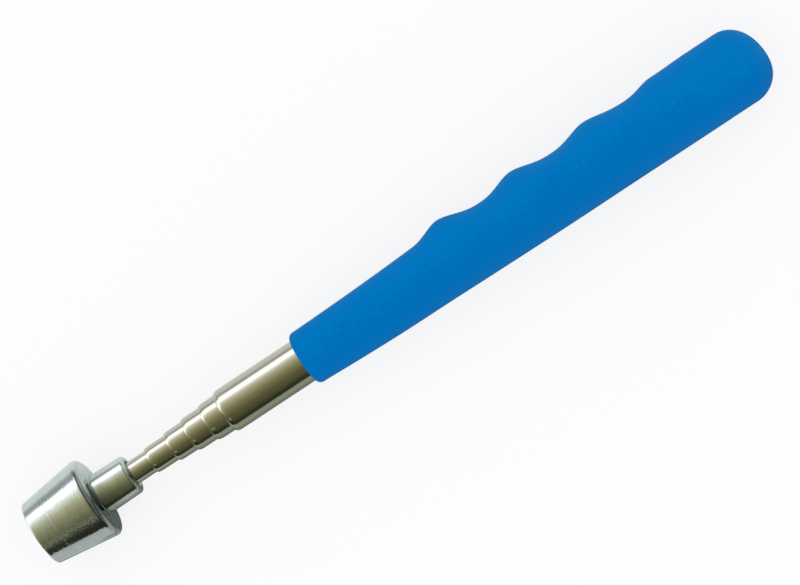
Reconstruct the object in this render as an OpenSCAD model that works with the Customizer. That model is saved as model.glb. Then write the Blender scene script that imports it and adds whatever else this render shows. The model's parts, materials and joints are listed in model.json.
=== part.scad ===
// Telescopic magnetic pickup tool: a magnetic head on a telescopic tube of six
// stages, with a moulded soft grip that has finger grooves along one side.
// The tool lies on a flat surface along X, closed, with its head towards -X,
// its finger grooves towards +Y and the tube axis level.
// Distances along the tool are measured from the magnet's front face.

/* [Overall] */
// Length of the closed tool
overall_l = 194; // [190:0.1:200]

/* [Head] */
// Largest diameter of the head
head_d = 19.3; // [19:0.1:19.6]
// Diameter of the head's front edge, before it is rounded
head_front_d = 15.2; // [15:0.1:15.6]
// Length of the conical part of the head
head_l = 16; // [15.5:0.1:16.5]
// Rounding of the head's front edge
head_front_round = 0.4; // [0.3:0.1:1]
// Rounding of the head's rear shoulder
head_rear_round = 1.5; // [0.8:0.1:2]
// Distance of the scribed line from the magnet's face
scribe_at = 5.2; // [4:0.1:6]
// Diameter of the neck where it leaves the head
neck_root_d = 9.6; // [9.2:0.02:9.8]
// Diameter of the neck at its rear end
neck_end_d = 9.34; // [9:0.02:9.6]
// Distance of the neck's rear end from the magnet's face
neck_end = 24.9; // [24:0.1:25.5]

/* [Magnet] */
// Diameter of the magnet
magnet_d = 9.5; // [8:0.1:9.8]
// Thickness of the magnet
magnet_t = 6; // [4:0.1:6.4]
// Outside diameter of the iron pole cup
pole_cup_d = 13; // [12.4:0.1:13.2]
// Wall thickness of the pole cup
pole_cup_wall = 1.1; // [0.8:0.1:1.2]
// Length of the pole cup, and depth of the head's pocket
pole_cup_l = 8.1; // [7.6:0.1:8.6]

/* [Telescopic tubes] */
// Diameter of the outer tube, the one that the grip holds
tube_1_d = 10.3; // [10.2:0.05:10.4]
// Diameter of the second tube, the widest that slides
tube_2_d = 9; // [8.9:0.05:9.1]
// Difference in diameter between each sliding tube and the next
tube_step = 0.9; // [0.88:0.01:0.92]
// Wall thickness of the outer tube
tube_1_wall = 0.3; // [0.26:0.01:0.32]
// Wall thickness of the sliding tubes
tube_wall = 0.25; // [0.22:0.01:0.26]
// Distances of the five tube mouths from the magnet's face, outermost first
mouth_at = [49.8, 45.35, 40.4, 35.5, 29.9]; // [29:0.05:51]
// Distance of the innermost tube's front end from the magnet's face
rod_front = 16.9; // [16:0.1:18]
// Length of the rolled shoulder behind each mouth
mouth_l = 1.1; // [0.9:0.1:1.3]

/* [Bushes and springs] */
// Length of a base bush's spigot inside its tube
spigot_l = 4; // [3:0.1:5]
// Length of the spring groove on a base bush
groove_l = 6; // [5:0.1:7]
// Length of each flange beside the spring groove
flange_l = 1; // [0.8:0.1:1.2]
// Thickness of a friction spring
spring_t = 0.3; // [0.25:0.01:0.32]
// Gap between each sliding stage's stops when the tool is closed
stop_gap = 0.3; // [0.2:0.05:0.5]

/* [Grip] */
// Distance of the grip's front face from the magnet's face
grip_front = 71.1; // [70.5:0.1:72]
// Rounding of the grip's front edge
grip_front_round = 0.9; // [0.5:0.1:1]
// Length of the grip's domed rear end
dome_l = 7.4; // [7:0.1:9]
// Distance of the grip's blind end wall from the magnet's face
grip_bore_end = 185.4; // [184:0.1:187]
// Distance from the tube axis to the grip's sides at its rear, level with the grooves
grip_half_depth = 9.65; // [9.4:0.05:9.8]

/* [Hidden] */
// Stations along the grip, each [distance from its front face, distance of the
// surface from the tube axis]. The finger side runs over ridges and grooves.
FINGER_SIDE = [[32.8, 7.5], [41.7, 9.53], [51.8, 7.58], [61.2, 9.55], [71, 7.98], [80.8, 9.78],
               [90.8, 8.65], [98.4, 9.84], [108, 10.02]];
// The finger side in front of the first ridge: a straight slope plus a curve.
FINGER_FRONT = [6.45, 0.012, 0.0006];
PALM_SIDE = [[0, 6.27], [3, 6.36], [8, 6.56], [14, 6.76], [20, 6.92], [26, 7], [34, 7.04], [44, 7.16],
             [55, 7.28], [66, 7.38], [86, 7.38], [98, 7.44], [124, 7.44]];
// Half the grip's depth, square to the finger and palm sides, as a share of grip_half_depth.
HALF_DEPTH = [[0, 0.68], [12, 0.715], [28, 0.77], [44, 0.85], [60, 0.925], [76, 0.97], [92, 0.99],
              [110, 1], [124, 1]];
// How far the widest part of the section lies from the tube axis, towards the finger side.
CENTRE_LINE = [[0, 0.15], [20, 0.25], [40, 0.7], [70, 1.1], [100, 1.3], [124, 1.37]];

SECTIONS = [2:6];

$fn = 96;
axis_z = head_d / 2;
finger_max = FINGER_SIDE[len(FINGER_SIDE) - 1][1];
axis_y = (head_d / 2 - finger_max) / 2;
tiny = 0.01;              // overlap that keeps a cut clean

// Clearances
slide_clearance = 0.03;   // radial, between a friction spring and the tube it rubs in
mouth_clearance = 0.06;   // radial, between a tube and the mouth it slides through
lip_t = 0.12;             // radial width of a mouth's front lip
stop_l = 1;               // length of a mouth's narrow part
flange_rise = 0.1;        // radial, how far a bush's flanges stand out of its tube
spring_slot = 0.5;        // gap between the two halves of a friction spring
plug_l = 3.8;             // length of the outer tube's rear plug
plug_flange_l = 0.8;      // length of that plug's flange, behind the tube

// Radii and places of tube i, where 1 is the outer tube and 6 the rod.
function tube_r(i) = i == 1 ? tube_1_d / 2 : (tube_2_d - (i - 2) * tube_step) / 2;
function wall(i) = i == 1 ? tube_1_wall : tube_wall;
function bore_r(i) = tube_r(i) - wall(i);
function spring_r(i) = bore_r(i - 1) - slide_clearance;
function groove_r(i) = spring_r(i) - spring_t - slide_clearance;
function mouth_r(i) = tube_r(i + 1) + mouth_clearance;
collar_l = 2 * flange_l + groove_l;
tube_1_end = grip_bore_end - plug_flange_l;
plug_face = grip_bore_end - plug_l;
function tube_end(i) = plug_face - stop_gap - collar_l - (i - 2) * (collar_l + spigot_l + stop_gap);

// Places children, drawn along +Z from the magnet's face, on the tube axis.
module on_axis() {
    translate([-overall_l / 2, axis_y, axis_z])
        rotate([0, 90, 0])
            children();
}

// Turns an outline of [radius, distance] points about the tube axis.
module turned(outline) {
    on_axis()
        rotate_extrude()
            polygon(outline);
}

// A quarter ellipse of outline points from [r0, z0] to [r1, z1], leaving r0 along the radius.
function rise(r0, z0, r1, z1, steps) =
    [for (k = [0:steps]) let (a = 90 * k / steps) [r0 + (r1 - r0) * sin(a), z1 + (z0 - z1) * cos(a)]];

// A quarter ellipse that leaves [r0, z0] along the axis and arrives at [r1, z1] along the radius.
function turn_in(r0, z0, r1, z1, steps) =
    [for (k = [0:steps]) let (a = 90 * k / steps) [r1 + (r0 - r1) * cos(a), z0 + (z1 - z0) * sin(a)]];

// ---- Tubes ----

// A tube with a plain rear end and a mouth rolled in towards the next tube.
module rolled_tube(i, front, rear) {
    r = tube_r(i);
    lip_r = mouth_r(i) + lip_t;
    turned(concat(
        [[bore_r(i), rear], [bore_r(i), front + stop_l + wall(i)], [mouth_r(i), front + stop_l],
         [mouth_r(i), front]],
        rise(lip_r, front, r, front + mouth_l, 8),
        [[r, rear]]));
}

module outer_tube() {
    color("gainsboro")
        rolled_tube(1, mouth_at[0], tube_1_end);
}

// Tubes 2 to 5 have rolled mouths. Tube 6, the rod, is plain and enters the head's neck.
module section_tube(i) {
    color("silver")
        if (i < 6)
            rolled_tube(i, mouth_at[i - 1], tube_end(i));
        else
            turned([[bore_r(i), rod_front], [tube_r(i), rod_front], [tube_r(i), tube_end(i)],
                    [bore_r(i), tube_end(i)]]);
}

// Brass plug that closes the outer tube's rear end.
module outer_tube_plug() {
    color("goldenrod")
        turned([[0, plug_face], [bore_r(1), plug_face], [bore_r(1), tube_1_end],
                [tube_r(1), tube_1_end], [tube_r(1), grip_bore_end], [0, grip_bore_end]]);
}

// ---- Bushes and springs ----

// Brass bush pressed into the rear end of sliding tube i. Its collar has a groove for the spring.
module base_bush(i) {
    end = tube_end(i);
    flange_r = tube_r(i) + flange_rise;
    groove_start = end + flange_l;
    groove_end = groove_start + groove_l;
    chamfer = 0.2;
    color("darkgoldenrod")
        turned([[0, end - spigot_l], [bore_r(i) - chamfer, end - spigot_l],
                [bore_r(i), end - spigot_l + chamfer], [bore_r(i), end], [flange_r, end],
                [flange_r, groove_start], [groove_r(i), groove_start], [groove_r(i), groove_end],
                [flange_r, groove_end], [flange_r, groove_end + flange_l - chamfer],
                [flange_r - chamfer, groove_end + flange_l], [0, groove_end + flange_l]]);
}

// Two half shells of phosphor bronze that ride in the bush's groove and rub in the next tube out.
module friction_spring(i) {
    start = tube_end(i) + flange_l + slide_clearance;
    end = tube_end(i) + flange_l + groove_l - slide_clearance;
    outer_r = spring_r(i);
    inner_r = groove_r(i) + slide_clearance;
    color("peru")
        difference() {
            turned([[inner_r, start], [outer_r, start], [outer_r, end], [inner_r, end]]);
            on_axis()
                translate([-spring_slot / 2, -outer_r - 1, start - 1])
                    cube([spring_slot, 2 * outer_r + 2, end - start + 2]);
        }
}

// ---- Head ----

stud_r = 2;
stud_start = 10;
shell_face = 0.05;

// Steel stud: its rear is pressed into the rod and its front is screwed into the head.
module rod_stud() {
    rod_bore = bore_r(6);
    press_l = 7;
    tip = 0.4;
    color("dimgray")
        turned([[0, stud_start + tip], [stud_r - tip, stud_start + tip], [stud_r, stud_start + 2 * tip],
                [stud_r, rod_front], [rod_bore, rod_front], [rod_bore, rod_front + press_l],
                [0, rod_front + press_l]]);
}

// Turned and chrome-plated cone with its neck. A pocket at the front holds the pole cup.
module head_shell() {
    front_r = head_front_d / 2;
    rear_r = head_d / 2;
    side_end = head_l - head_rear_round;
    side_start = shell_face + head_front_round;
    front_flare = 0.15;
    side_start_r = front_r + front_flare;
    rim_r = front_r - head_front_round;
    scribe_w = 0.16;
    scribe_depth = 0.06;
    scribe_r = side_start_r + (rear_r - side_start_r) * (scribe_at - side_start) / (side_end - side_start);
    root_r = neck_root_d / 2;
    root_fillet = 0.25;
    end_r = neck_end_d / 2;
    neck_round = 0.8;
    neck_lip_r = 3.35;
    counterbore_gap = 0.35;
    counterbore_r = tube_r(6) + counterbore_gap;
    counterbore_l = 1;
    lip_chamfer = 0.3;
    color("whitesmoke")
        turned(concat(
            [[0, pole_cup_l], [pole_cup_d / 2, pole_cup_l], [pole_cup_d / 2, shell_face]],
            rise(rim_r, shell_face, side_start_r, side_start, 6),
            [[scribe_r - tiny, scribe_at - scribe_w / 2], [scribe_r - scribe_depth, scribe_at],
             [scribe_r + tiny, scribe_at + scribe_w / 2]],
            turn_in(rear_r, side_end, rear_r - head_rear_round, head_l, 8),
            rise(root_r + root_fillet, head_l, root_r, head_l + root_fillet, 4),
            turn_in(end_r, neck_end - neck_round, end_r - neck_round, neck_end, 5),
            [[neck_lip_r, neck_end], [counterbore_r, neck_end - lip_chamfer],
             [counterbore_r, neck_end - counterbore_l], [tube_r(6), neck_end - counterbore_l],
             [tube_r(6), rod_front], [stud_r, rod_front], [stud_r, stud_start], [0, stud_start]]));
}

// Soft iron cup that carries the magnet's field round to its rim.
module pole_cup() {
    outer_r = pole_cup_d / 2;
    inner_r = outer_r - pole_cup_wall;
    floor_at = magnet_t;
    edge = 0.1;
    color("gray")
        turned([[0, floor_at], [inner_r, floor_at], [inner_r, 0], [outer_r - edge, 0], [outer_r, edge],
                [outer_r, pole_cup_l], [0, pole_cup_l]]);
}

// Brass ring that keeps the magnet central and away from the cup's wall.
module spacer_ring() {
    ring_back = 0.2;
    color("gold")
        turned([[magnet_d / 2, ring_back], [pole_cup_d / 2 - pole_cup_wall, ring_back],
                [pole_cup_d / 2 - pole_cup_wall, magnet_t], [magnet_d / 2, magnet_t]]);
}

// Nickel-plated disc magnet.
module magnet() {
    r = magnet_d / 2;
    edge = 0.25;
    color("lightsteelblue")
        turned([[0, 0], [r - edge, 0], [r, edge], [r, magnet_t], [0, magnet_t]]);
}

// ---- Grip ----

grip_l = overall_l - grip_front;
dome_start = grip_l - dome_l;
section_power = 2.2;      // 2 is an ellipse, and more is squarer
dome_power = 2.15;
ridge_power = 1.23;       // more than 1 narrows the ridges
dome_tip = 0.12;          // size of the small flat on the dome's tip, as a share of the section
dome_drop = 1.1;          // how far the dome's tip leans towards the palm side
ring_sides = 28;          // points round each ring of the grip's surface
dome_angle = 86;          // the dome's last ring, in degrees from its first

function smooth(t) = t * t * (3 - 2 * t);

// The station at or before s.
function station(s, k = 0) =
    k + 2 >= len(FINGER_SIDE) || s < FINGER_SIDE[k + 1][0] ? k : station(s, k + 1);
// A height between stations a and b. The ridges are narrower than the grooves.
function climb(t) = smooth(pow(t, ridge_power));
function between(s, a, b) =
    let (t = min(1, max(0, (s - a[0]) / (b[0] - a[0]))))
    b[1] > a[1] ? a[1] + (b[1] - a[1]) * climb(t) : b[1] + (a[1] - b[1]) * climb(1 - t);
function finger_h(s) =
    s < FINGER_SIDE[0][0]
        ? FINGER_FRONT[0] + FINGER_FRONT[1] * s + FINGER_FRONT[2] * s * s
        : between(s, FINGER_SIDE[station(s)], FINGER_SIDE[station(s) + 1]);
function centre_y(s) = lookup(s, CENTRE_LINE);

// A power that keeps the sign of its base.
function signed_pow(v, p) = sign(v) * pow(abs(v), p);

// One ring of the grip's surface at distance s behind its front face: full_s is the place
// whose section it takes, and the ring is drawn in by inset and shrunk by scale_by.
function ring(s, full_s, inset, scale_by) =
    let (mid = centre_y(full_s),
         drop = dome_drop * (1 - scale_by),
         up = (finger_h(full_s) - mid - inset) * scale_by,
         down = (lookup(full_s, PALM_SIDE) + mid - inset) * scale_by,
         side = (grip_half_depth * lookup(full_s, HALF_DEPTH) - inset) * scale_by)
    [for (k = [0:ring_sides - 1])
        let (a = 360 * (k + 0.5) / ring_sides,
             c = signed_pow(cos(a), 2 / section_power),
             q = signed_pow(sin(a), 2 / section_power))
        [s, mid - drop + (q > 0 ? up : down) * q, side * c]];

FRONT_RINGS = [for (k = [0:4]) let (a = 90 * k / 4)
    ring(grip_front_round * (1 - cos(a)), grip_front_round, grip_front_round * (1 - sin(a)), 1)];
PLAIN_RINGS = concat([for (s = [4:4:28]) ring(s, s, 0, 1)],
                     [for (s = [31:1.6:dome_start - 1]) ring(s, s, 0, 1)]);
DOME_RINGS = [for (k = [0:7]) let (a = dome_angle * k / 7)
    ring(dome_start + dome_l * pow(sin(a) / sin(dome_angle), 2 / dome_power),
         dome_start, 0, max(dome_tip, pow(cos(a), 2 / dome_power)))];
RINGS = concat(FRONT_RINGS, PLAIN_RINGS, DOME_RINGS);

module grip_body() {
    last = len(RINGS) - 1;
    polyhedron(
        points = [for (r = RINGS) each r],
        faces = concat(
            [[for (k = [0:ring_sides - 1]) k]],
            [for (j = [0:last - 1]) for (k = [0:ring_sides - 1])
                let (n = (k + 1) % ring_sides, a = j * ring_sides, b = a + ring_sides)
                [a + n, a + k, b + k, b + n]],
            [[for (k = [ring_sides - 1:-1:0]) last * ring_sides + k]]));
}

// Moulded soft grip, closed at the rear, with a blind bore for the outer tube.
module grip() {
    bore_chamfer = 0.25;
    color("dodgerblue")
        difference() {
            translate([grip_front - overall_l / 2, axis_y, axis_z])
                grip_body();
            on_axis()
                translate([0, 0, grip_front - 1])
                    cylinder(r = tube_r(1), h = grip_bore_end - grip_front + 1);
            on_axis()
                translate([0, 0, grip_front - tiny])
                    cylinder(r1 = tube_r(1) + bore_chamfer, r2 = tube_r(1), h = bore_chamfer);
        }
}

grip();
outer_tube();
outer_tube_plug();
for (i = SECTIONS) {
    section_tube(i);
    base_bush(i);
    friction_spring(i);
}
rod_stud();
head_shell();
pole_cup();
spacer_ring();
magnet();
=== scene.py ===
"""Looks for the telescopic magnetic pickup tool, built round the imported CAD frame.

Lengths are in millimetres along the tube axis from the magnet's front face. point() turns
them into the frame's metres for the meshes, and MM does for the materials. Where a CAD piece
starts and ends, and its radius, come from the frame's own nodes.
"""

import json
import math

import bmesh
import bpy
from mathutils import Matrix, Vector


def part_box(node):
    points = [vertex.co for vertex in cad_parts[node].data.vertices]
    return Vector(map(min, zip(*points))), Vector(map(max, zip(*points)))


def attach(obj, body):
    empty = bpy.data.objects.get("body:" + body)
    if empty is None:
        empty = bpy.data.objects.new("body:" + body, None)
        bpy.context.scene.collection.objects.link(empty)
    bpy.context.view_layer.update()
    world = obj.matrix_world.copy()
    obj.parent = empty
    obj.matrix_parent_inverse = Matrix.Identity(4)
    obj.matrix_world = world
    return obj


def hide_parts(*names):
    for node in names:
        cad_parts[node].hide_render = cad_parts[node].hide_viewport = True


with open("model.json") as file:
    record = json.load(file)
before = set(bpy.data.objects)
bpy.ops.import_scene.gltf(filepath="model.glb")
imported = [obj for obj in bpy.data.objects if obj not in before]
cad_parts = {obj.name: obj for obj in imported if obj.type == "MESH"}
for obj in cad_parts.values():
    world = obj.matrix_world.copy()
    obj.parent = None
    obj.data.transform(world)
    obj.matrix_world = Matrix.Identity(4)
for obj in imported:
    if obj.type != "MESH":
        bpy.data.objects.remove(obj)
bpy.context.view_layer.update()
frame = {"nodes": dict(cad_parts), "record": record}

MM = 0.001
SECTIONS = range(2, 7)
MAGNET_LOW, MAGNET_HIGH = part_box("magnet")
FACE_X = MAGNET_LOW.x
AXIS_Y = (MAGNET_LOW.y + MAGNET_HIGH.y) / 2
AXIS_Z = (MAGNET_LOW.z + MAGNET_HIGH.z) / 2


def point(along, across, up):
    """A point in the frame from its distances, in mm, along and off the tube axis."""
    return (FACE_X + along * MM, AXIS_Y + across * MM, AXIS_Z + up * MM)


def span(node):
    """Where a CAD node starts and ends along the axis, and its largest radius, in mm."""
    low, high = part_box(node)
    verts = frame["nodes"][node].data.vertices
    reach = max(math.hypot(v.co.y - AXIS_Y, v.co.z - AXIS_Z) for v in verts)
    return (low.x - FACE_X) / MM, (high.x - FACE_X) / MM, reach / MM


# ---- Camera ----

CAMERA_TILT = math.radians(9.5)  # the grip's end is nearer the camera than the head
CAMERA_ROLL = math.radians(33.44)  # the tool rises to the right across the picture
CAMERA_AIM = (97.2, 0.76, 0)  # in mm, as point() takes it
CAMERA_DISTANCE = 2.4
CAMERA_CLIP = (0.1, 50)
VIEW_WIDTH = 0.176
SENSOR_WIDTH = 36


def make_camera():
    """A long lens almost straight above the tool, rolled so that the tool lies on a diagonal."""
    along = Vector((math.cos(CAMERA_TILT), 0, -math.sin(CAMERA_TILT)))
    across = Vector((0, 1, 0))
    back = Vector((math.sin(CAMERA_TILT), 0, math.cos(CAMERA_TILT)))
    right = math.cos(CAMERA_ROLL) * along - math.sin(CAMERA_ROLL) * across
    up = math.sin(CAMERA_ROLL) * along + math.cos(CAMERA_ROLL) * across
    data = bpy.data.cameras.new("camera")
    data.sensor_width = SENSOR_WIDTH
    data.lens = SENSOR_WIDTH * CAMERA_DISTANCE / VIEW_WIDTH
    data.clip_start, data.clip_end = CAMERA_CLIP
    camera = bpy.data.objects.new("camera", data)
    facing = Matrix((right, up, back)).transposed().to_4x4()
    stand = Vector(point(*CAMERA_AIM)) + back * CAMERA_DISTANCE
    camera.matrix_world = Matrix.Translation(stand) @ facing
    bpy.context.scene.collection.objects.link(camera)
    bpy.context.scene.camera = camera


# ---- Material helpers ----


class Nodes:
    """A material or world tree with short calls for the nodes that this script uses."""

    def __init__(self, tree):
        self.tree = tree
        tree.nodes.clear()

    def add(self, kind, inputs=(), **settings):
        node = self.tree.nodes.new(kind)
        for name, value in settings.items():
            setattr(node, name, value)
        self.feed(node, inputs)
        return node

    def feed(self, node, inputs):
        """Links each input to a socket, or sets it to a constant."""
        for socket, value in dict(inputs).items():
            if isinstance(value, bpy.types.NodeSocket):
                self.tree.links.new(value, node.inputs[socket])
            else:
                node.inputs[socket].default_value = value

    def math(self, operation, a, b=0.0, c=0.0):
        return self.add("ShaderNodeMath", {0: a, 1: b, 2: c}, operation=operation).outputs[0]

    def product(self, first, *rest):
        for factor in rest:
            first = self.math("MULTIPLY", first, factor)
        return first

    def vector(self, operation, a, b):
        return self.add("ShaderNodeVectorMath", {0: a, 1: b}, operation=operation).outputs[0]

    def scaled(self, vector, scale):
        inputs = {0: vector, "Scale": scale}
        return self.add("ShaderNodeVectorMath", inputs, operation="SCALE").outputs[0]

    def axes(self, vector):
        return self.add("ShaderNodeSeparateXYZ", {0: vector}).outputs

    def noise(self, vector, scale, detail, roughness):
        inputs = {"Vector": vector, "Scale": scale, "Detail": detail, "Roughness": roughness}
        return self.add("ShaderNodeTexNoise", inputs).outputs["Fac"]

    def marks(self, vector, scales, detail, roughness):
        """Noise with its own scale on each axis, so that it is drawn out along the smallest."""
        stretched = self.add("ShaderNodeMapping", {"Vector": vector, "Scale": scales}).outputs[0]
        return self.noise(stretched, 1.0, detail, roughness)

    def remap(self, value, low, high, to_low, to_high, kind="LINEAR"):
        inputs = {"Value": value, "From Min": low, "From Max": high,
                  "To Min": to_low, "To Max": to_high}
        return self.add("ShaderNodeMapRange", inputs, interpolation_type=kind).outputs[0]

    def ease(self, value, low, high, to_low, to_high):
        """remap that starts and ends softly."""
        return self.remap(value, low, high, to_low, to_high, kind="SMOOTHSTEP")

    def falloff(self, value, centre, half):
        """1 at the centre, falling smoothly to 0 at half a width away."""
        off = self.math("ABSOLUTE", self.math("SUBTRACT", value, centre))
        return self.ease(off, 0, half, 1, 0)

    def ramp(self, value, stops):
        node = self.add("ShaderNodeValToRGB", {"Fac": value})
        band = node.color_ramp
        while len(band.elements) < len(stops):
            band.elements.new(0.5)
        for element, (place, colour) in zip(band.elements, stops):
            element.position = place
            element.color = (*colour, 1)
        return node.outputs["Color"]

    def bump(self, height, strength, distance, normal=None):
        inputs = {"Height": height, "Strength": strength, "Distance": distance}
        if normal is not None:
            inputs["Normal"] = normal
        return self.add("ShaderNodeBump", inputs).outputs[0]

    def mix_colour(self, share, a, b, blend="MIX"):
        inputs = {0: share, 6: a, 7: b}
        return self.add("ShaderNodeMix", inputs, data_type="RGBA", blend_type=blend).outputs[2]

    def mix_shader(self, share, a, b):
        return self.add("ShaderNodeMixShader", {0: share, 1: a, 2: b}).outputs[0]

    def plain(self, kind, colour):
        """A background or an emission of one colour."""
        return self.add(kind, {"Color": colour, "Strength": 1.0}).outputs[0]


def material(name):
    """A new material with a principled shader, and the object coordinates for its marks."""
    made = bpy.data.materials.new(name)
    made.use_nodes = True
    nodes = Nodes(made.node_tree)
    shader = nodes.add("ShaderNodeBsdfPrincipled")
    nodes.add("ShaderNodeOutputMaterial", {"Surface": shader.outputs[0]})
    place = nodes.add("ShaderNodeTexCoord").outputs["Object"]
    return made, nodes, shader, place


def centred(nodes, place):
    """Object coordinates measured from the tube axis."""
    return nodes.vector("SUBTRACT", place, (FACE_X, AXIS_Y, AXIS_Z))


def in_mm(low, high, to_low, to_high):
    """A change for remap or ease over a distance that is given in mm."""
    return low * MM, high * MM, to_low, to_high


# ---- Metals ----

# Painted shade on the head's plating: a band round the cone's rear edge, then the shoulder and
# the neck, where it is strongest on the palm side and thins out to the rear. Noise mottles it. A
# change gives where it starts and ends, and the share of painted shade at each.
SHADE_BAND = 0.6
SHADE_BAND_AT = (15.0 * MM, 0.9 * MM)
SHADE_BAND_FINGER = in_mm(7, 8.5, 1, 0)
SHADE_BAND_PALM = in_mm(-5.5, -3.5, 0.2, 1)
SHADE_REAR_START = in_mm(15.4, 15.9, 0, 1)
SHADE_REAR_SIDE = in_mm(4.5, 1.5, 0.25, 0.57)
SHADE_SHOULDER_END = in_mm(16, 17, 1, 0.68)
SHADE_NECK_END = in_mm(17.5, 21, 1, 0.04)
SHADE_MOTTLE_SCALES = (1500, 380, 380)
SHADE_MOTTLED = (0.35, 0.65, 0.75, 1.25)
SHADE_COLOUR = (0.02, 0.075, 0.055)


def painted_shade(nodes, place):
    """How far painted shade darkens the head's plating, from 0 to 1."""
    along, side, _ = nodes.axes(place)
    band = nodes.product(nodes.falloff(along, *SHADE_BAND_AT), SHADE_BAND,
                         nodes.ease(side, *SHADE_BAND_FINGER), nodes.ease(side, *SHADE_BAND_PALM))
    rear = nodes.product(nodes.ease(along, *SHADE_REAR_START), nodes.ease(side, *SHADE_REAR_SIDE),
                         nodes.remap(along, *SHADE_SHOULDER_END),
                         nodes.remap(along, *SHADE_NECK_END))
    shade_mottle = nodes.marks(place, SHADE_MOTTLE_SCALES, detail=4.0, roughness=0.65)
    return nodes.product(nodes.math("MAXIMUM", band, rear), nodes.remap(shade_mottle, *SHADE_MOTTLED))


TURNING_MARKS = (5200, 160, 160)
CHATTER_MARKS = (3200, 1150, 1150)
CHATTER_SIDE = (-3.2 * MM, 3 * MM)  # the chatter is strongest on the palm side
CHATTER_REST = 0.15  # and has this share of its depth elsewhere
CHATTER_REAR = 0.2  # and this one beyond its end
TURNED_TONE = (0.7, 1.5, 0, 1)
TURNED_WEAR = (0.55, 1.0)
TURNED_SPREAD = (0.7, 1.5)
PATCH_SHARE = 1.2
MARK_SHARE = 0.5


def turned_metal(name, dark, light, rough, groove, chatter, smear=0.0, chatter_end=None):
    """Plated or bare metal with fine turning marks round the tube axis.

    groove and chatter are the depths of the fine lines and of the tool's chatter, in mm.
    chatter_end, a distance along the axis in mm, is given for the head only: the chatter is
    a fifth of its depth beyond it, and the metal gets painted shade on its rear edge, shoulder and
    neck."""
    made, nodes, shader, place = material(name)
    place = centred(nodes, place)
    fine = nodes.marks(place, TURNING_MARKS, detail=4.0, roughness=0.65)
    waves = nodes.marks(place, CHATTER_MARKS, detail=2.0, roughness=0.5)
    patches = nodes.noise(place, scale=260, detail=4.0, roughness=0.6)
    tone = nodes.math("ADD", fine, nodes.product(patches, PATCH_SHARE))
    colour = nodes.ramp(nodes.remap(tone, *TURNED_TONE), [(0, dark), (1, light)])
    if chatter_end:
        along, side, _ = nodes.axes(place)
        fade = nodes.ease(along, *in_mm(chatter_end - 1, chatter_end, 1, CHATTER_REAR))
        palm = nodes.math("MULTIPLY_ADD", nodes.falloff(side, *CHATTER_SIDE), 1 - CHATTER_REST,
                          CHATTER_REST)
        waves = nodes.product(fade, palm, waves)
        # Painted shade: the base colour darkens to a dark teal round the cone's rear edge, on the
        # shoulder and on the neck, most on the palm side.
        colour = nodes.mix_colour(painted_shade(nodes, place), colour, (*SHADE_COLOUR, 1))
    wear = nodes.math("ADD", patches, nodes.product(fine, MARK_SHARE))
    least, most = TURNED_SPREAD
    normal = nodes.bump(fine, 1.0, groove * MM)
    nodes.feed(shader, {
        "Base Color": colour,
        "Metallic": 1.0,
        "Roughness": nodes.remap(wear, *TURNED_WEAR, rough * least, rough * most + smear),
        "Normal": nodes.bump(waves, 1.0, chatter * MM, normal),
    })
    return made


DRAWN_LINES = (25, 5200, 5200)
DRAWN_SMUDGES = (120, 300, 300)
DRAWN_RINGS = (2600, 400, 400)
DRAWN_TONE = (0.75, 1.25, 0, 1)
DRAWN_WEAR = (0.3, 0.75)
DRAWN_SPREAD = (0.75, 1.5)
DRAWN_LINE_DEPTH = 0.0012
DRAWN_RING_DEPTH = 0.003


def drawn_metal(name, dark, light, rough):
    """Thin plated tube, polished along its length, with faint lines, rings and soft smudges."""
    made, nodes, shader, place = material(name)
    place = centred(nodes, place)
    lines = nodes.marks(place, DRAWN_LINES, detail=3.0, roughness=0.6)
    smudges = nodes.marks(place, DRAWN_SMUDGES, detail=5.0, roughness=0.65)
    rings = nodes.marks(place, DRAWN_RINGS, detail=2.0, roughness=0.5)
    tone = nodes.remap(nodes.math("ADD", lines, smudges), *DRAWN_TONE)
    least, most = DRAWN_SPREAD
    normal = nodes.bump(lines, 1.0, DRAWN_LINE_DEPTH * MM)
    nodes.feed(shader, {
        "Base Color": nodes.ramp(tone, [(0, dark), (1, light)]),
        "Metallic": 1.0,
        "Roughness": nodes.remap(smudges, *DRAWN_WEAR, rough * least, rough * most),
        "Normal": nodes.bump(rings, 1.0, DRAWN_RING_DEPTH * MM, normal),
    })
    return made


# ---- Vinyl ----

# The grip's blue on the palm side and on the finger side, where painted light makes it lighter,
# and the change from one to the other, which noise blotches. The change allows for the noise,
# which adds about VINYL_BLOTCH.
VINYL_LIT_BLUES = [(0, (0.0, 0.143, 0.438)), (1, (0.0, 0.163, 0.468))]
VINYL_BLOTCH = 16 * MM
VINYL_LIGHT_CHANGE = in_mm(14.5, 19.5, 0, 1)
VINYL_ROUGHNESS = (0.7, 1.3, 0.5, 0.66)
VINYL_GRAIN_DEPTH = 0.02
VINYL_SPECK_DEPTH = 0.03


def grip_vinyl():
    """Soft blue vinyl with a fine moulded grain, and painted light that makes it a little lighter
    on the finger side.
    """
    made, nodes, shader, place = material("grip_vinyl")
    place = centred(nodes, place)
    grain = nodes.noise(place, scale=4200, detail=3.0, roughness=0.55)
    clouds = nodes.noise(place, scale=45, detail=4.0, roughness=0.6)
    specks = nodes.noise(place, scale=1100, detail=3.0, roughness=0.6)
    mottle = nodes.math("ADD", specks, clouds)
    blotched = nodes.math("MULTIPLY_ADD", mottle, VINYL_BLOTCH, nodes.axes(place)["Y"])
    normal = nodes.bump(grain, strength=0.6, distance=VINYL_GRAIN_DEPTH * MM)
    nodes.feed(shader, {
        # Painted light: the blue is lighter towards the finger side.
        "Base Color": nodes.ramp(nodes.ease(blotched, *VINYL_LIGHT_CHANGE), VINYL_LIT_BLUES),
        "Roughness": nodes.remap(mottle, *VINYL_ROUGHNESS),
        "Specular IOR Level": 0.03,
        "Specular Tint": (0.05, 0.5, 1.0, 1),
        "Normal": nodes.bump(specks, strength=0.35, distance=VINYL_SPECK_DEPTH * MM,
                             normal=normal),
    })
    return made


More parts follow.
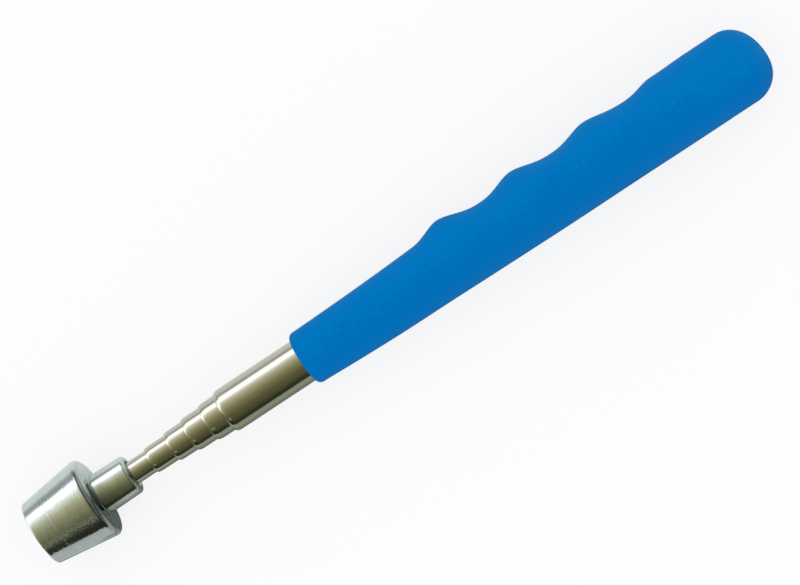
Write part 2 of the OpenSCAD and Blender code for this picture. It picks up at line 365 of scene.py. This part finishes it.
TUBE_LOOK = {"dark": (0.57, 0.522, 0.45), "light": (0.62, 0.577, 0.50), "rough": 0.14}
TURNED = {
    "head_chrome": {"dark": (0.58, 0.597, 0.585), "light": (0.765, 0.777, 0.755), "rough": 0.075,
                    "groove": 0.006, "chatter": 0.13, "smear": 0.03, "chatter_end": 15.5},
    "pole_iron": {"dark": (0.42, 0.42, 0.41), "light": (0.52, 0.52, 0.50), "rough": 0.26,
                  "groove": 0.004, "chatter": 0.004, "smear": 0.05},
    "magnet_nickel": {"dark": (0.60, 0.59, 0.56), "light": (0.70, 0.69, 0.66), "rough": 0.2,
                      "groove": 0.001, "chatter": 0.003, "smear": 0.08},
    "brass": {"dark": (0.62, 0.44, 0.18), "light": (0.74, 0.55, 0.26), "rough": 0.2,
              "groove": 0.003, "chatter": 0.004},
    "spring_bronze": {"dark": (0.52, 0.30, 0.14), "light": (0.64, 0.40, 0.20), "rough": 0.26,
                      "groove": 0.002, "chatter": 0.003},
    "stud_steel": {"dark": (0.40, 0.40, 0.40), "light": (0.50, 0.50, 0.50), "rough": 0.28,
                   "groove": 0.004, "chatter": 0.004},
}
MATERIALS = {
    "grip_vinyl": grip_vinyl(),
    "tube_nickel": drawn_metal("tube_nickel", **TUBE_LOOK),
    **{name: turned_metal(name, **look) for name, look in TURNED.items()},
}


# ---- Mesh helpers ----

SHARP = math.radians(32)
LONG = 0.6  # a straight longer than this gets a point HOLD from each of its ends
HOLD = 0.03
LATHE_SIDES = 160


def mesh_piece(name, verts, faces, slot, body, replaced):
    """A smooth-shaded piece that rides on a body and stands for one CAD node."""
    mesh = bpy.data.meshes.new(name)
    mesh.from_pydata(verts, [], faces)
    solid = bmesh.new()
    solid.from_mesh(mesh)
    bmesh.ops.recalc_face_normals(solid, faces=solid.faces)
    solid.to_mesh(mesh)
    solid.free()
    mesh.polygons.foreach_set("use_smooth", [True] * len(mesh.polygons))
    mesh.set_sharp_from_angle(angle=SHARP)
    mesh.materials.append(MATERIALS[slot])
    piece = bpy.data.objects.new(name, mesh)
    bpy.context.scene.collection.objects.link(piece)
    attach(piece, body)
    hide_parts(replaced)


def held(outline):
    """The outline with a point close to each end of its long straights, so they shade flat."""
    out = []
    for (x0, r0), (x1, r1) in zip(outline, outline[1:]):
        out.append((x0, r0))
        length = math.hypot(x1 - x0, r1 - r0)
        if length > LONG:
            for t in (HOLD / length, 1 - HOLD / length):
                out.append((x0 + (x1 - x0) * t, r0 + (r1 - r0) * t))
    return out + [outline[-1]]


def lathe(name, outline, slot, body, replaced, sides=LATHE_SIDES):
    """Turns an outline of (distance, radius) points, in mm, about the tube axis.

    The outline runs so that the solid is on its left, with distance to the right and radius
    up. It closes on itself, or starts and ends on the axis."""
    verts, rings = [], []
    for along, radius in held(outline):
        if radius == 0:
            rings.append([len(verts)])
            verts.append(point(along, 0, 0))
        else:
            rings.append(list(range(len(verts), len(verts) + sides)))
            for k in range(sides):
                a = 2 * math.pi * k / sides
                verts.append(point(along, radius * math.cos(a), radius * math.sin(a)))
    pairs = list(zip(rings, rings[1:]))
    if len(rings[0]) > 1:
        pairs.append((rings[-1], rings[0]))
    faces = []
    for a, b in pairs:
        for k in range(sides):
            n = (k + 1) % sides
            corners = [a[k % len(a)], a[n % len(a)], b[n % len(b)], b[k % len(b)]]
            faces.append(list(dict.fromkeys(corners)))
    mesh_piece(name, verts, faces, slot, body, replaced)


def quarter(start, end, steps, radial_first, power=2.0):
    """A quarter ellipse between (distance, radius) points. A power under 2 makes it flatter."""
    (x0, r0), (x1, r1) = start, end
    out = []
    for k in range(steps + 1):
        s, c = math.sin(math.pi / 2 * k / steps), max(0.0, math.cos(math.pi / 2 * k / steps))
        s, c = s ** (2 / power), c ** (2 / power)
        if radial_first:
            out.append((x1 + (x0 - x1) * c, r0 + (r1 - r0) * s))
        else:
            out.append((x0 + (x1 - x0) * s, r1 + (r0 - r1) * c))
    return out


# ---- Tubes ----

ROD = 6
TUBE_NODES = {1: "outer_tube", **{i: f"section_tube_{i}" for i in SECTIONS}}
TUBE_BODIES = {1: "handle", **{i: f"section_{i}" for i in SECTIONS}}
TUBE_WALL = {1: 0.3, **dict.fromkeys(SECTIONS, 0.25)}
CUT_EDGE = 0.06  # how far the corners of a tube's cut ends are broken
MOUTH_GAP = 0.06
MOUTH_EDGE_L, MOUTH_EDGE_R = 0.05, 0.04
LIP = 0.1  # how far outside the mouth its flat front ends and the shoulder starts
SHOULDER_L = 1.35
SHOULDER_POWER = 1.9
STOP_L = 1.0
BEADS = {2: 0.03}  # how high the low ring behind a tube's mouth stands
BEAD_AT = 1.45
BEAD_HALF = 0.15


def rolled_tube(i):
    """Tube i, with its mouth rolled in to the next tube and a low ring if BEADS has one for it."""
    front, rear, radius = span(TUBE_NODES[i])
    mouth = span(TUBE_NODES[i + 1])[2] + MOUTH_GAP
    bore = radius - TUBE_WALL[i]
    lip = mouth + LIP
    outline = [(rear, radius - CUT_EDGE), (rear, bore), (front + STOP_L + TUBE_WALL[i], bore),
               (front + STOP_L, mouth), (front + MOUTH_EDGE_L, mouth),
               (front, mouth + MOUTH_EDGE_R)]
    outline += quarter((front, lip), (front + SHOULDER_L, radius), steps=24, radial_first=True,
                       power=SHOULDER_POWER)
    if i in BEADS:
        crest = front + BEAD_AT
        outline = [(x, r + BEADS[i] * math.exp(-((x - crest) / BEAD_HALF) ** 2) * (r > lip))
                   for x, r in outline]
    outline.append((rear - CUT_EDGE, radius))
    lathe(f"tube_{i}_skin", outline, "tube_nickel", TUBE_BODIES[i], TUBE_NODES[i])


def rod():
    """The innermost tube, plain from end to end."""
    front, rear, radius = span(TUBE_NODES[ROD])
    bore = radius - TUBE_WALL[ROD]
    outline = [(rear, radius - CUT_EDGE), (rear, bore), (front, bore), (front, radius - CUT_EDGE),
               (front + CUT_EDGE, radius), (rear - CUT_EDGE, radius)]
    lathe(f"tube_{ROD}_skin", outline, "tube_nickel", TUBE_BODIES[ROD], TUBE_NODES[ROD])


# ---- Head ----

HEAD_SIDES = 224
SHELL_FACE = 0.05
POCKET_R = 6.5
POCKET_END = 8.1
POCKET_EDGE = 0.06
FRONT_R = 7.6
FRONT_ROUND = 0.4
FRONT_SWELL = 0.15  # how far the cone widens over its front round
REAR_ROUND = 1.5
CONE_END = 16.0
SCRIBE_AT = 5.2
SCRIBE_HALF = 0.08
SCRIBE_DEPTH = 0.05
NECK_ROOT_R = 4.8
ROOT_FILLET = 0.25
ROOT_RING = [(1.25, 0.01), (1.0, 0.03), (0.75, 0)]  # (behind the cone, depth)
NECK_END_R = 4.67
NECK_ROUND = 0.8
NECK_LIP_R = 3.35
NECK_LIP_L = 0.3
COUNTERBORE_L = 1.0
COUNTERBORE_GAP = 0.35
STUD_R = 2.0
STUD_START = 10.0
ROD_FRONT = 16.9

CUP_WALL = 1.1
CUP_EDGE = 0.12
RING_RECESS = 0.2
MAGNET_ROUND = 0.25


def head():
    """The cone and neck in one piece, with a scribed line and a faint ring at the neck's root."""
    neck_end, radius = span("head_shell")[1:]
    rod_r = span(TUBE_NODES[ROD])[2]
    wide_r = rod_r + COUNTERBORE_GAP
    side_start = (SHELL_FACE + FRONT_ROUND, FRONT_R + FRONT_SWELL)
    side_end = (CONE_END - REAR_ROUND, radius)
    slope = (side_end[1] - side_start[1]) / (side_end[0] - side_start[0])
    outline = [(STUD_START, 0), (STUD_START, STUD_R), (ROD_FRONT, STUD_R), (ROD_FRONT, rod_r),
               (neck_end - COUNTERBORE_L, rod_r), (neck_end - COUNTERBORE_L, wide_r),
               (neck_end - NECK_LIP_L, wide_r), (neck_end, NECK_LIP_R)]
    outline += quarter((neck_end, NECK_END_R - NECK_ROUND), (neck_end - NECK_ROUND, NECK_END_R),
                       steps=8, radial_first=True)
    outline += [(CONE_END + off, NECK_ROOT_R - deep) for off, deep in ROOT_RING]
    outline += quarter((CONE_END + ROOT_FILLET, NECK_ROOT_R),
                       (CONE_END, NECK_ROOT_R + ROOT_FILLET), steps=8, radial_first=False)
    outline += quarter((CONE_END, radius - REAR_ROUND), side_end, steps=18, radial_first=True)
    for off, deep in ((1, 0), (0, SCRIBE_DEPTH), (-1, 0)):
        along = SCRIBE_AT + off * SCRIBE_HALF
        outline.append((along, side_start[1] + (along - side_start[0]) * slope - deep))
    outline += quarter(side_start, (SHELL_FACE, FRONT_R - FRONT_ROUND), steps=10,
                       radial_first=False)
    outline += [(SHELL_FACE, POCKET_R + POCKET_EDGE), (SHELL_FACE + POCKET_EDGE, POCKET_R),
                (POCKET_END, POCKET_R), (POCKET_END, 0)]
    lathe("head_shell_skin", outline, "head_chrome", "section_6", "head_shell", HEAD_SIDES)


def magnet_face():
    """The three flat pieces in the head's pocket: the pole cup, the spacer ring and the magnet."""
    magnet_end, magnet_r = span("magnet")[1:]
    cup_end, cup_r = span("pole_cup")[1:]
    inner = cup_r - CUP_WALL
    cup = [(magnet_end, 0), (magnet_end, inner), (CUP_EDGE, inner), (0, inner + CUP_EDGE),
           (0, cup_r - CUP_EDGE), (CUP_EDGE, cup_r), (cup_end, cup_r), (cup_end, 0)]
    lathe("pole_cup_skin", cup, "pole_iron", "section_6", "pole_cup")
    ring = [(RING_RECESS, magnet_r), (RING_RECESS, inner), (magnet_end, inner),
            (magnet_end, magnet_r)]
    lathe("spacer_ring_skin", ring, "brass", "section_6", "spacer_ring")
    disc = [(0, 0)] + quarter((0, magnet_r - MAGNET_ROUND), (MAGNET_ROUND, magnet_r), steps=6,
                              radial_first=True)
    disc += [(magnet_end, magnet_r), (magnet_end, 0)]
    lathe("magnet_skin", disc, "magnet_nickel", "section_6", "magnet")


# ---- Grip ----

# Outlines of the grip, as (distance behind its front face, value): the crests and floors of the
# finger side, the palm side, the share of HALF_DEPTH, and the middle of the section.
FINGER_SIDE = [(32.8, 7.5), (41.7, 9.53), (51.8, 7.58), (61.2, 9.55), (71, 7.98), (80.8, 9.78),
               (90.8, 8.65), (98.4, 9.84), (108, 10.02)]
FINGER_FRONT = (6.45, 0.012, 0.0006)  # height, slope and curve ahead of the first groove
RIDGE_POWER = 1.23
PALM_SIDE = [(0, 6.27), (3, 6.36), (8, 6.56), (14, 6.76), (20, 6.92), (26, 7.0), (34, 7.04),
             (44, 7.16), (55, 7.28), (66, 7.38), (86, 7.38), (98, 7.44), (124, 7.44)]
HALF_DEPTH = 9.65
DEPTH_SHARE = [(0, 0.68), (12, 0.715), (28, 0.77), (44, 0.85), (60, 0.925), (76, 0.97),
               (92, 0.99), (110, 1.0), (124, 1.0)]
CENTRE_LINE = [(0, 0.15), (20, 0.25), (40, 0.7), (70, 1.1), (100, 1.3), (124, 1.37)]
SECTION_POWER = 2.2
GRIP_SIDES = 120
GRIP_FRONT_ROUND = 0.9
FRONT_STEPS = 8
BODY_STEPS = 230
DOME_L = 7.4
DOME_POWER = 2.15
DOME_DROP = 1.1
DOME_STEPS = 24
DOME_LAST = math.radians(86)  # the rest of the dome is one flat face
BORE_CHAMFER = 0.25
SEAM_HEIGHT = 0.05
SEAM_HALF = 0.9  # degrees
SEAM_OFFSETS = (-1.4, -0.7, 0.7, 1.4)  # degrees
SEAM_END = 0.9  # how far the dome has shrunk where the mould lines end


def climb(t):
    """How far a ridge has risen at t between the groove's floor and its crest.

    Ridges are the narrower."""
    t = min(1, max(0, t)) ** RIDGE_POWER
    return t * t * (3 - 2 * t)


def line_at(stations, s):
    """A smooth curve through the stations, with each tangent taken from its neighbours."""
    k = max(j for j in range(len(stations) - 1) if j == 0 or stations[j][0] <= s)
    (x0, y0), (x1, y1) = stations[k], stations[k + 1]

    def tangent(j):
        a, b = stations[max(0, j - 1)], stations[min(len(stations) - 1, j + 1)]
        return (b[1] - a[1]) / (b[0] - a[0])

    t, h = (s - x0) / (x1 - x0), x1 - x0
    t2, t3 = t * t, t * t * t
    return ((2 * t3 - 3 * t2 + 1) * y0 + (t3 - 2 * t2 + t) * h * tangent(k)
            + (3 * t2 - 2 * t3) * y1 + (t3 - t2) * h * tangent(k + 1))


def finger_height(s):
    """Distance of the finger side from the tube axis: a curved taper, then ridges and grooves."""
    if s < FINGER_SIDE[0][0]:
        base, slope, curve = FINGER_FRONT
        return base + slope * s + curve * s * s
    k = max(j for j in range(len(FINGER_SIDE) - 1) if FINGER_SIDE[j][0] <= s)
    (x0, y0), (x1, y1) = FINGER_SIDE[k], FINGER_SIDE[k + 1]
    t = (s - x0) / (x1 - x0)
    return y0 + (y1 - y0) * climb(t) if y1 > y0 else y1 + (y0 - y1) * climb(1 - t)


def grip_angles():
    """Angles round the section, closer together at the two mould lines."""
    plain = [2 * math.pi * k / GRIP_SIDES for k in range(GRIP_SIDES)]
    close = [math.radians(line + off) for line in (90, 270) for off in SEAM_OFFSETS]
    return sorted(plain + close)


def signed_pow(v, p):
    """The power p of v's size, with v's sign."""
    return math.copysign(abs(v) ** p, v)


def grip_ring(front, s, section_at, inset, shrink):
    """One ring of the grip's surface s behind its front face, with the mould lines on it.

    Its section is the one at section_at, drawn in by inset and scaled by shrink."""
    middle = line_at(CENTRE_LINE, section_at)
    drop = DOME_DROP * (1 - shrink)
    up = (finger_height(section_at) - middle - inset) * shrink
    down = (line_at(PALM_SIDE, section_at) + middle - inset) * shrink
    side = (HALF_DEPTH * line_at(DEPTH_SHARE, section_at) - inset) * shrink
    seam_height = SEAM_HEIGHT if inset == 0 and shrink > SEAM_END else 0
    ring = []
    for a in grip_angles():
        c = signed_pow(math.cos(a), 2 / SECTION_POWER)
        q = signed_pow(math.sin(a), 2 / SECTION_POWER)
        off = math.degrees(abs(math.cos(a)))  # about the angle to the nearer mould line
        seam = seam_height * max(0, 1 - off / SEAM_HALF)
        reach = up if q > 0 else down
        ring.append(point(front + s, middle - drop + (reach + seam) * q, side * c))
    return ring


def grip():
    """The moulded grip, a closed solid with the blind bore that holds the outer tube."""
    front, rear, _ = span("grip")
    bore_end = span("outer_tube_plug")[1]
    bore_r = span("outer_tube")[2]
    dome_start = rear - front - DOME_L
    angles = grip_angles()
    bore = [(bore_end, bore_r), (front + BORE_CHAMFER, bore_r), (front, bore_r + BORE_CHAMFER)]
    rings = [[point(along, radius * math.sin(a), radius * math.cos(a)) for a in angles]
             for along, radius in bore]
    for k in range(FRONT_STEPS + 1):
        a = math.pi / 2 * k / FRONT_STEPS
        s, inset = GRIP_FRONT_ROUND * (1 - math.cos(a)), GRIP_FRONT_ROUND * (1 - math.sin(a))
        rings.append(grip_ring(front, s, GRIP_FRONT_ROUND, inset, 1))
    for k in range(1, BODY_STEPS):
        s = GRIP_FRONT_ROUND + (dome_start - GRIP_FRONT_ROUND) * k / BODY_STEPS
        rings.append(grip_ring(front, s, s, 0, 1))
    for k in range(DOME_STEPS + 1):
        a = DOME_LAST * k / DOME_STEPS
        reach = (math.sin(a) / math.sin(DOME_LAST)) ** (2 / DOME_POWER)
        shrink = math.cos(a) ** (2 / DOME_POWER)
        rings.append(grip_ring(front, dome_start + DOME_L * reach, dome_start, 0, shrink))
    sides = len(angles)
    verts = [p for ring in rings for p in ring]
    faces = [[j * sides + k, j * sides + (k + 1) % sides,
              (j + 1) * sides + (k + 1) % sides, (j + 1) * sides + k]
             for j in range(len(rings) - 1) for k in range(sides)]
    faces += [list(range(sides)), list(range(len(verts) - sides, len(verts)))]
    mesh_piece("grip_skin", verts, faces, "grip_vinyl", "handle", "grip")


# ---- Hidden CAD nodes ----


def dress_cad_nodes():
    """Gives each CAD node that stays its slot's material."""
    slots = {row["node"]: row["material_slot"] for row in frame["record"]["subparts"]}
    for name, node in frame["nodes"].items():
        node.data.materials.clear()
        node.data.materials.append(MATERIALS[slots[name]])


# ---- World ----

FILL = (1.11, 1.115, 1.12)  # what lights the matt surfaces
BACKDROP = (0.99, 0.99, 0.99)  # what the camera sees
# Everything else is what metal mirrors. A place in the room is x, the direction along the tool,
# which is negative towards the head, and turn, the direction round it, which runs from 0 at the
# palm side's horizon through overhead to 1 at the finger side's. A change gives where it starts
# and ends, and the value at each. A spot gives its centre and how far out it fades.
ROOM = [(0.0, (0.018, 0.023, 0.016)), (0.09, (0.016, 0.019, 0.012)),
        (0.17, (0.041, 0.044, 0.022)), (0.345, (0.067, 0.069, 0.034)),
        (0.42, (0.093, 0.096, 0.049)), (0.5, (0.127, 0.127, 0.065)),
        (0.578, (0.183, 0.180, 0.106)), (0.656, (0.243, 0.246, 0.167)),
        (0.733, (0.33, 0.352, 0.302)), (0.80, (0.522, 0.552, 0.549)), (0.85, (0.93, 0.96, 0.98)),
        (0.93, (0.88, 0.92, 0.94)), (0.975, (0.42, 0.46, 0.46)), (1.0, (0.17, 0.20, 0.20))]
ROOM_GAIN = (-0.06, 0.16, 2.3, 0.23)  # by x: the room dims towards the grip
# The cone's slope mirrors its own part of the room. Both ends of that are darker, and there is a
# dim light on the palm side.
CONE_X = (-0.43, 0.2)
CONE_PALM_DARK = (0.17, 0.215, 0.55, 0)
CONE_FINGER_DARK = (0.91, 0.945, 0, 0.65)
STREAK_X = (-0.4, 0.15)
STREAK_TURN = (0.25, 0.07)
STREAK = 0.42
# The mouths' shoulders mirror the head's end, where a corner and a wide glow are lit. The head's
# rear edge mirrors a light at the grip's end.
CORNER_X, CORNER_TURN = (-0.3, -0.75, 0, 0.6), (0.6, 0.8, 0, 1)
GLOW_X, GLOW_TURN = (-0.3, -0.9, 0, 0.22), (0.25, 0.6, 0.15, 1)
REAR_X, REAR_TURN = (0.22, 0.5, 0, 0.34), (0.1, 0.85, 0.4, 1.5)
REAR_X_END = (0.72, 0.92, 1, 0.3)
COOL = (0.92, 1.0, 1.03)  # the colour of these lights


def make_world():
    """A soft studio. Matt surfaces get an even white fill. Metal mirrors a room with one large
    light low on the finger side and a ceiling that darkens towards the palm side."""
    world = bpy.data.worlds.new("studio")
    world.use_nodes = True
    world.cycles.sampling_method = "NONE"
    nodes = Nodes(world.node_tree)
    x, y, z = nodes.axes(nodes.add("ShaderNodeTexCoord").outputs["Generated"])
    turn = nodes.math("MULTIPLY_ADD", nodes.math("ARCTAN2", y, z), 1 / math.pi, 0.5)
    dark = nodes.math("ADD", nodes.ease(turn, *CONE_PALM_DARK),
                      nodes.ease(turn, *CONE_FINGER_DARK))
    kept = nodes.math("SUBTRACT", 1.0, nodes.product(nodes.falloff(x, *CONE_X), dark))
    room = nodes.scaled(nodes.ramp(turn, ROOM), nodes.product(nodes.ease(x, *ROOM_GAIN), kept))
    corner = nodes.product(nodes.ease(x, *CORNER_X), nodes.ease(turn, *CORNER_TURN))
    glow = nodes.product(nodes.ease(x, *GLOW_X), nodes.ease(turn, *GLOW_TURN))
    rear = nodes.product(nodes.ease(x, *REAR_X), nodes.remap(turn, *REAR_TURN),
                         nodes.ease(x, *REAR_X_END))
    streak = nodes.product(nodes.falloff(x, *STREAK_X), nodes.falloff(turn, *STREAK_TURN))
    lights = nodes.math("ADD", nodes.math("ADD", corner, glow), rear)
    lights = nodes.math("MULTIPLY_ADD", streak, STREAK, lights)
    room = nodes.vector("ADD", room, nodes.scaled(COOL, lights))
    mirrored = nodes.plain("ShaderNodeBackground", room)
    fill = nodes.plain("ShaderNodeBackground", (*FILL, 1))
    backdrop = nodes.plain("ShaderNodeBackground", (*BACKDROP, 1))
    path = nodes.add("ShaderNodeLightPath").outputs
    lit = nodes.mix_shader(path["Is Glossy Ray"], fill, mirrored)
    seen = nodes.mix_shader(path["Is Camera Ray"], lit, backdrop)
    nodes.add("ShaderNodeOutputWorld", {"Surface": seen})
    bpy.context.scene.world = world
    bpy.context.scene.view_settings.view_transform = "Standard"


# ---- Floor ----

FLOOR_HALF = 30
FLOOR_PAPER = [(0.3, (0.865, 0.87, 0.87)), (0.7, (0.88, 0.885, 0.885))]
FLOOR_GLOW = 0.8  # how far the floor's own shadows are lifted where the camera sees it
# Brightness of the floor as the metal mirrors it, by distance across the tool: dim in the tool's
# shadow on the palm side, bright close by on the finger side, and dimmer far away.
FLOOR_TONE = [(-120, 0.44), (-58, 0.57), (-46, 0.50), (-29, 0.61), (-22, 0.26), (-16, 0.42),
              (-11, 0.20), (-3, 0.18), (3, 0.62), (9, 0.87), (42, 0.86), (62, 0.55), (120, 0.46)]
FLOOR_SPAN = 120
FLOOR_TINT = (0.90, 1.0, 0.95)
# On the palm side the shadow ends ahead of the head, and dims the floor further behind the neck.
AHEAD_TONE = 0.56
AHEAD_X, AHEAD_Y = in_mm(4, 10, 1, 0), in_mm(-16, -11, 1, 0)
BEHIND_DIMS = (0.80, 0.85, 0.68)
BEHIND_X, BEHIND_Y = in_mm(17, 24, 0, 1), in_mm(-18, -12, 1, 0)


def floor_colour(tone):
    """What metal mirrors of the floor where its brightness is tone."""
    return tuple(tone * t for t in FLOOR_TINT)


def make_floor():
    """A plain white floor, shaded by the tool's own shadow where the metal mirrors it."""
    h = FLOOR_HALF
    mesh = bpy.data.meshes.new("floor")
    mesh.from_pydata([(-h, -h, 0), (h, -h, 0), (h, h, 0), (-h, h, 0)], [], [[0, 1, 2, 3]])
    made, nodes, shader, place = material("floor_paper")
    paper = nodes.ramp(nodes.noise(place, scale=3.0, detail=3.0, roughness=0.5), FLOOR_PAPER)
    nodes.feed(shader, {"Base Color": paper, "Roughness": 0.9, "Specular IOR Level": 0.1})
    along, across, _ = nodes.axes(centred(nodes, place))
    share = nodes.remap(across, *in_mm(-FLOOR_SPAN, FLOOR_SPAN, 0, 1))
    stops = [((d + FLOOR_SPAN) / (2 * FLOOR_SPAN), floor_colour(tone)) for d, tone in FLOOR_TONE]
    ahead = nodes.product(nodes.ease(along, *AHEAD_X), nodes.ease(across, *AHEAD_Y))
    behind = nodes.product(nodes.ease(along, *BEHIND_X), nodes.ease(across, *BEHIND_Y))
    tone = nodes.mix_colour(ahead, nodes.ramp(share, stops), (*floor_colour(AHEAD_TONE), 1))
    tone = nodes.mix_colour(behind, tone, (*BEHIND_DIMS, 1), blend="MULTIPLY")
    mirrored = nodes.plain("ShaderNodeEmission", tone)
    white = nodes.plain("ShaderNodeEmission", (*BACKDROP, 1))
    path = nodes.add("ShaderNodeLightPath").outputs
    lifted = nodes.product(path["Is Camera Ray"], FLOOR_GLOW)
    seen = nodes.mix_shader(lifted, shader.outputs[0], white)
    mixed = nodes.mix_shader(path["Is Glossy Ray"], seen, mirrored)
    output = next(n for n in made.node_tree.nodes if n.type == "OUTPUT_MATERIAL")
    nodes.feed(output, {"Surface": mixed})
    mesh.materials.append(made)
    floor = bpy.data.objects.new("floor", mesh)
    bpy.context.scene.collection.objects.link(floor)


make_camera()
make_world()
make_floor()
dress_cad_nodes()
grip()
for i in range(1, ROD):
    rolled_tube(i)
rod()
head()
magnet_face()


def corners(box):
    return [[round(v, 6) for v in corner] for corner in box]
